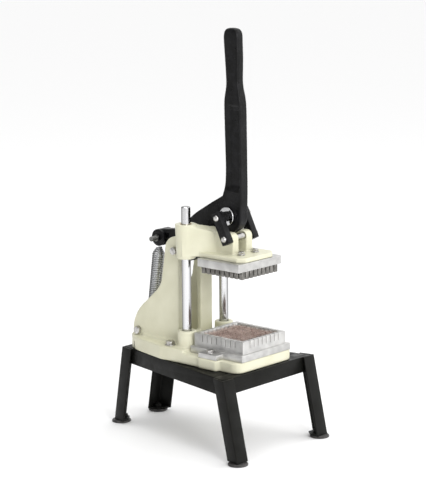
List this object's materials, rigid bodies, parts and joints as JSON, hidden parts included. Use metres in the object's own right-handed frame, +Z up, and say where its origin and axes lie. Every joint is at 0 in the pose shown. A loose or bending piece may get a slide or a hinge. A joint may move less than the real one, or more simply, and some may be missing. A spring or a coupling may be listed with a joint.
{
  "type": "vegetable dicer",
  "caption": "Bench vegetable dicer: a lever drives a fingered pusher down two guide rods through a square blade grid on an angle-iron stand, with a return spring.",
  "frame": {"origin": "on the floor under the middle of the machine, midway between the front and rear feet and in the plane of symmetry", "axes": "+Z up, -Y towards the operator (the front), +X to the right of someone who looks along +Y"},
  "size_m": [0.2264, 0.3294, 0.645],
  "materials": {
    "black_enamel": "semi-gloss black paint over cast or rolled iron, lightly textured",
    "cream_enamel": "cream enamel over cast metal, semi-gloss with soft edges",
    "foot_rubber": "black moulded rubber",
    "zinc_steel": "bright zinc plated steel",
    "hard_chrome": "polished hard chrome",
    "cast_aluminium": "bead-blasted cast aluminium",
    "blade_steel": "ground blade steel",
    "bush_bronze": "oiled bronze bush",
    "spring_steel": "bright drawn spring wire"
  },
  "bodies": {
    "frame": {"leg_front_left": "black_enamel", "leg_front_right": "black_enamel", "leg_rear_left": "black_enamel", "leg_rear_right": "black_enamel", "foot_front_left": "foot_rubber", "foot_front_right": "foot_rubber", "foot_rear_left": "foot_rubber", "foot_rear_right": "foot_rubber", "foot_screw_front_left": "black_enamel", "foot_screw_front_right": "black_enamel", "foot_screw_rear_left": "black_enamel", "foot_screw_rear_right": "black_enamel", "rail_front": "black_enamel", "rail_rear": "black_enamel", "rail_left": "black_enamel", "rail_right": "black_enamel", "base_casting": "cream_enamel", "base_bolt_front_left": "zinc_steel", "base_bolt_front_right": "zinc_steel", "base_bolt_rear_left": "zinc_steel", "base_bolt_rear_right": "zinc_steel", "base_nut_front_left": "zinc_steel", "base_nut_front_right": "zinc_steel", "base_nut_rear_left": "zinc_steel", "base_nut_rear_right": "zinc_steel", "guide_rod_left": "hard_chrome", "guide_rod_right": "hard_chrome", "rod_nut_left": "zinc_steel", "rod_nut_right": "zinc_steel", "blade_frame": "cast_aluminium", "blade_grid": "blade_steel", "blade_frame_bolt_left": "zinc_steel", "blade_frame_bolt_right": "zinc_steel", "lever_pivot_bolt": "zinc_steel", "lever_pivot_nut": "zinc_steel", "pivot_spacer_left": "zinc_steel", "pivot_spacer_right": "zinc_steel", "spring_foot_bolt": "zinc_steel", "spring_foot_nut": "zinc_steel"},
    "lever": {"lever_casting": "black_enamel", "hub_pin": "hard_chrome", "spring_top_bolt": "zinc_steel", "spring_top_nut": "zinc_steel"},
    "carriage": {"carriage_casting": "cream_enamel", "guide_bush_left": "bush_bronze", "guide_bush_right": "bush_bronze", "pusher_block": "cast_aluminium", "pusher_bolt_left": "zinc_steel", "pusher_bolt_right": "zinc_steel", "pusher_bolt_rear": "zinc_steel", "link_foot_pin": "zinc_steel"},
    "links": {"link_left": "black_enamel", "link_right": "black_enamel", "link_stud_left": "zinc_steel", "link_stud_right": "zinc_steel"},
    "spring": {"spring_coil": "spring_steel", "spring_hook_lower": "spring_steel"},
    "spring_head": {"spring_coil_end": "spring_steel"},
    "spring_hook": {"spring_hook_upper": "spring_steel"}
  },
  "joints": [
    {"name": "lever_swing", "type": "hinge", "parent": "frame", "child": "lever", "pos_m": [0, 0.0301, 0.297], "axis": [1, 0, 0], "range_deg": [0, 59.2], "stiffness_Nm_per_rad": 3, "springref_deg": -114.59},
    {"name": "carriage_slide", "type": "slide", "parent": "frame", "child": "carriage", "axis": [0, 0, -1], "range_m": [0, 0.104]},
    {"name": "links_swing", "type": "hinge", "parent": "carriage", "child": "links", "pos_m": [0, -0.0684, 0.326], "axis": [1, 0, 0], "range_deg": [0, 19.2]},
    {"name": "spring_swing", "type": "hinge", "parent": "frame", "child": "spring", "pos_m": [0, 0.1111, 0.158], "axis": [1, 0, 0], "range_deg": [0, 8.7]},
    {"name": "spring_stretch", "type": "slide", "parent": "spring", "child": "spring_head", "axis": [0, -0.1339, 0.991], "range_m": [0, 0.055], "deforming": ["spring_coil", "spring_coil_end"]},
    {"name": "hook_swing", "type": "hinge", "parent": "lever", "child": "spring_hook", "pos_m": [0, 0.0911, 0.306], "axis": [1, 0, 0], "range_deg": [-50.7, 0]}
  ],
  "couplings": [
    {"joint": "carriage_slide", "follows": "lever_swing", "m_per_rad": 0.10059},
    {"joint": "links_swing", "follows": "lever_swing", "ratio": 0.3228},
    {"joint": "spring_swing", "follows": "lever_swing", "ratio": 0.14621},
    {"joint": "spring_stretch", "follows": "lever_swing", "m_per_rad": 0.05314},
    {"joint": "hook_swing", "follows": "lever_swing", "ratio": -0.85379}
  ]
}
